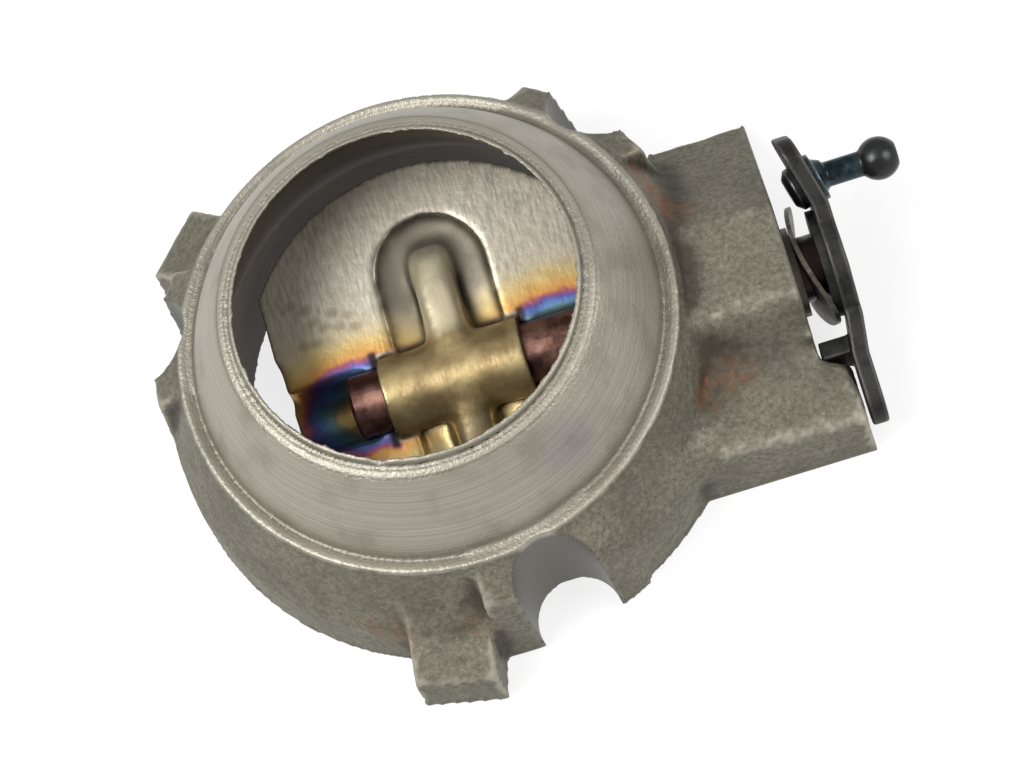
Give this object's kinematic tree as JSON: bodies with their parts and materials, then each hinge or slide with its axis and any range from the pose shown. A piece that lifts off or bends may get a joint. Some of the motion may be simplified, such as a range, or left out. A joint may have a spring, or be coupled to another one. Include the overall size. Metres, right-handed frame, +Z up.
{
  "type": "exhaust heat riser valve",
  "caption": "Exhaust flange housing with a ball seat and a lever-worked flap that turns on a side shaft to hold back or free the exhaust gas.",
  "frame": {"origin": "centre of the three-stud circle, on the flat flange face", "axes": "+Z up the gas passage to the ball seat, +X along the shaft to the lever, +Y to the long side of the flap"},
  "size_m": [0.13, 0.1044, 0.0424],
  "materials": {
    "cast_iron": "sand-cast grey iron with machined faces and light rust",
    "bushing_steel": "sintered steel, darkened by heat",
    "washer_steel": "plain turned steel",
    "spring_steel": "bowed spring sheet",
    "shaft_steel": "ground steel tinted red-brown by heat",
    "flap_sheet": "pressed stainless sheet with heat tints",
    "weld_metal": "plug weld metal",
    "lever_steel": "dark grey phosphate on steel",
    "stud_steel": "blue-black hardened steel"
  },
  "bodies": {
    "casing": {"housing": "cast_iron", "inner_bushing": "bushing_steel", "outer_bushing": "bushing_steel", "thrust_washer": "washer_steel"},
    "rotor": {"shaft": "shaft_steel", "flap_plate": "flap_sheet", "left_weld": "weld_metal", "right_weld": "weld_metal", "spring_washer": "spring_steel", "lever_collar": "lever_steel", "lever": "lever_steel", "ball_stud": "stud_steel"}
  },
  "joints": [
    {"name": "flap_swing", "type": "hinge", "parent": "casing", "child": "rotor", "pos_m": [0, -0.0043, 0.0118], "axis": [1, 0, 0], "range_deg": [0, 75]}
  ]
}
